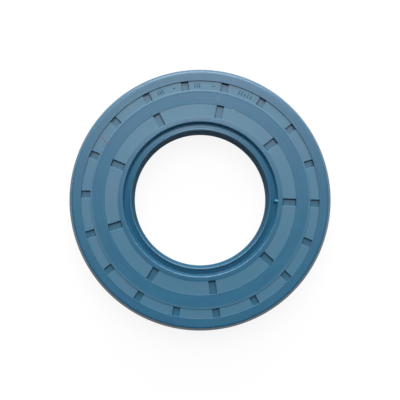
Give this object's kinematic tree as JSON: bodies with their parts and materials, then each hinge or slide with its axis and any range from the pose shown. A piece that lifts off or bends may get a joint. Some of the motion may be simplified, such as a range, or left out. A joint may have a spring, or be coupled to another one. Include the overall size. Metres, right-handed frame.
{
  "type": "oil seal",
  "caption": "Rubber rotary shaft seal moulded over a steel ring, with a spring-loaded sealing lip, a dust lip and two rings of moulding windows on its air-side face.",
  "frame": {"origin": "on the axis, in the plane of the end of the sealing lip", "axes": "+Z along the axis towards the air side, +X and +Y across the face"},
  "size_m": [0.085, 0.085, 0.01],
  "materials": {
    "nitrile_rubber": "moulded, satin, with matte window rings",
    "primed_steel": "blue-grey bonding primer, matte",
    "spring_wire": "drawn wire"
  },
  "bodies": {
    "root": {"rubber_body": "nitrile_rubber", "steel_ring": "primed_steel", "garter_spring": "spring_wire"}
  },
  "joints": []
}
